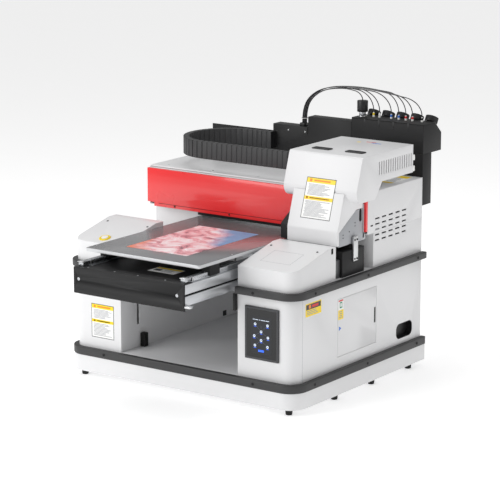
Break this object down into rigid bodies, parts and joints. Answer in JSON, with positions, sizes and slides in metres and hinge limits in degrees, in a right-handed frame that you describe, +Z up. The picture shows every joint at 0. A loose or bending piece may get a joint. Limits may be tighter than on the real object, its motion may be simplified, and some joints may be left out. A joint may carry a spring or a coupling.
{
  "type": "flatbed UV printer",
  "caption": "Free-standing flatbed UV printer: lifting bed with a sliding platen, a print head carriage on a gantry, drag chain, capping station and rear ink tanks.",
  "frame": {"origin": "on the floor, under the middle of the machine's outer box", "axes": "+X to the operator's right, +Y from the operator's side to the rear, +Z up"},
  "size_m": [1.126, 1.3546, 1.0974],
  "materials": {
    "white_paint": "satin powder coat",
    "grey_rubber": "ribbed extruded bumper",
    "foot_rubber": "moulded rubber foot",
    "red_gloss": "high gloss",
    "black_steel": "fine textured powder coat",
    "black_plastic": "moulded",
    "grey_plastic": "satin moulded",
    "screen_glass": "glossy screen",
    "white_plastic": "moulded",
    "tube_black": "smooth extruded tube",
    "aluminium": "anodised",
    "platen_grey": "hard anodised",
    "grey_paint": "satin paint",
    "bright_steel": "ground"
  },
  "bodies": {
    "stand": {"base_plinth": "white_paint", "bay_rear_panel": "white_paint", "capping_pads": "foot_rubber", "capping_station": "black_steel", "casing_screws": "bright_steel", "chain_fixed_run": "black_plastic", "door_hinge_pins": "bright_steel", "electronics_tray": "aluminium", "frame_motors": "black_plastic", "gantry_beam": "aluminium", "gantry_housing": "white_paint", "gantry_risers": "white_paint", "ink_tank_housing": "black_steel", "ink_tank_lid": "black_steel", "ink_tubes": "tube_black", "left_cabinet": "white_paint", "left_front_cover": "white_paint", "levelling_feet": "foot_rubber", "lower_bumper_strip": "grey_rubber", "rear_panel": "black_steel", "red_front_cover": "red_gloss", "right_cabinet": "white_paint", "right_front_cover": "white_paint", "screen_bezel": "grey_plastic", "screen_glass": "screen_glass", "stirrer_motor": "black_plastic", "tube_fittings": "white_plastic", "upper_bumper_strips": "grey_rubber", "waste_tank": "white_plastic", "x_belt": "black_plastic", "x_guide_rails": "bright_steel"},
    "side_door": {"side_door": "white_paint"},
    "power_button": {"power_button": "white_plastic"},
    "drive_pulley": {"x_drive_pulley": "aluminium"},
    "idler_pulley": {"x_idler_pulley": "aluminium"},
    "head": {"head_hood": "white_paint", "head_carriage": "aluminium", "head_side_plates": "grey_paint", "x_bearing_blocks": "bright_steel", "print_heads": "aluminium", "uv_lamp": "black_plastic", "chain_moving_run": "black_plastic"},
    "chain_bend": {"chain_bend": "black_plastic"},
    "bed": {"bed_front_plate": "black_steel", "bed_frame": "aluminium", "y_guide_rails": "bright_steel", "y_motor": "black_plastic", "lift_plates": "black_steel"},
    "y_screw": {"y_screw": "bright_steel"},
    "platen": {"platen": "platen_grey", "platen_bearing_blocks": "bright_steel"},
    "cap_1": {"ink_cap_1": "black_plastic"},
    "cap_2": {"ink_cap_2": "black_plastic"},
    "cap_3": {"ink_cap_3": "black_plastic"},
    "cap_4": {"ink_cap_4": "black_plastic"},
    "cap_5": {"ink_cap_5": "black_plastic"},
    "lift_screw_left_front": {"lift_screw_left_front": "bright_steel"},
    "lift_screw_left_rear": {"lift_screw_left_rear": "bright_steel"},
    "lift_screw_right_front": {"lift_screw_right_front": "bright_steel"},
    "lift_screw_right_rear": {"lift_screw_right_rear": "bright_steel"}
  },
  "joints": [
    {"name": "door_swing", "type": "hinge", "parent": "stand", "child": "side_door", "pos_m": [0.515, -0.07728, 0.2795], "axis": [0, 0, -1], "range_deg": [0, 100]},
    {"name": "button_press", "type": "slide", "parent": "stand", "child": "power_button", "axis": [0, 0.2214, -0.9752], "range_m": [0, 0.003], "stiffness_N_per_m": 600},
    {"name": "head_travel", "type": "slide", "parent": "stand", "child": "head", "axis": [1, 0, 0], "range_m": [-0.63, 0], "deforming": ["chain_moving_run"]},
    {"name": "chain_roll", "type": "slide", "parent": "stand", "child": "chain_bend", "axis": [1, 0, 0], "range_m": [-0.32, 0], "deforming": ["chain_fixed_run"]},
    {"name": "drive_pulley_spin", "type": "hinge", "parent": "stand", "child": "drive_pulley", "pos_m": [-0.477, 0.13672, 0.675], "axis": [0, 1, 0], "continuous": true},
    {"name": "idler_pulley_spin", "type": "hinge", "parent": "stand", "child": "idler_pulley", "pos_m": [0.455, 0.13672, 0.675], "axis": [0, 1, 0], "continuous": true},
    {"name": "bed_lift", "type": "slide", "parent": "stand", "child": "bed", "axis": [0, 0, 1], "range_m": [-0.15, 0]},
    {"name": "platen_travel", "type": "slide", "parent": "bed", "child": "platen", "axis": [0, 1, 0], "range_m": [0, 0.505]},
    {"name": "y_screw_spin", "type": "hinge", "parent": "bed", "child": "y_screw", "pos_m": [-0.02, -0.19328, 0.5], "axis": [0, 1, 0], "continuous": true},
    {"name": "lift_screw_left_front_spin", "type": "hinge", "parent": "stand", "child": "lift_screw_left_front", "pos_m": [-0.326, -0.26128, 0.3], "axis": [0, 0, 1], "continuous": true},
    {"name": "lift_screw_left_rear_spin", "type": "hinge", "parent": "stand", "child": "lift_screw_left_rear", "pos_m": [-0.326, 0.39672, 0.3], "axis": [0, 0, 1], "continuous": true},
    {"name": "lift_screw_right_front_spin", "type": "hinge", "parent": "stand", "child": "lift_screw_right_front", "pos_m": [0.286, -0.26128, 0.3], "axis": [0, 0, 1], "continuous": true},
    {"name": "lift_screw_right_rear_spin", "type": "hinge", "parent": "stand", "child": "lift_screw_right_rear", "pos_m": [0.286, 0.39672, 0.3], "axis": [0, 0, 1], "continuous": true},
    {"name": "cap_1_turn", "type": "hinge", "parent": "stand", "child": "cap_1", "pos_m": [0.2137, 0.64318, 0.972], "axis": [0, 0.5, 0.866], "continuous": true},
    {"name": "cap_2_turn", "type": "hinge", "parent": "stand", "child": "cap_2", "pos_m": [0.2811, 0.64318, 0.972], "axis": [0, 0.5, 0.866], "continuous": true},
    {"name": "cap_3_turn", "type": "hinge", "parent": "stand", "child": "cap_3", "pos_m": [0.3485, 0.64318, 0.972], "axis": [0, 0.5, 0.866], "continuous": true},
    {"name": "cap_4_turn", "type": "hinge", "parent": "stand", "child": "cap_4", "pos_m": [0.4159, 0.64318, 0.972], "axis": [0, 0.5, 0.866], "continuous": true},
    {"name": "cap_5_turn", "type": "hinge", "parent": "stand", "child": "cap_5", "pos_m": [0.4833, 0.64318, 0.972], "axis": [0, 0.5, 0.866], "continuous": true}
  ],
  "couplings": [
    {"joint": "chain_roll", "follows": "head_travel", "ratio": 0.5},
    {"joint": "drive_pulley_spin", "follows": "head_travel", "rad_per_m": -63.492},
    {"joint": "idler_pulley_spin", "follows": "head_travel", "rad_per_m": -63.492},
    {"joint": "y_screw_spin", "follows": "platen_travel", "rad_per_m": 314.16},
    {"joint": "lift_screw_left_front_spin", "follows": "bed_lift", "rad_per_m": 628.32},
    {"joint": "lift_screw_left_rear_spin", "follows": "bed_lift", "rad_per_m": 628.32},
    {"joint": "lift_screw_right_front_spin", "follows": "bed_lift", "rad_per_m": 628.32},
    {"joint": "lift_screw_right_rear_spin", "follows": "bed_lift", "rad_per_m": 628.32}
  ]
}
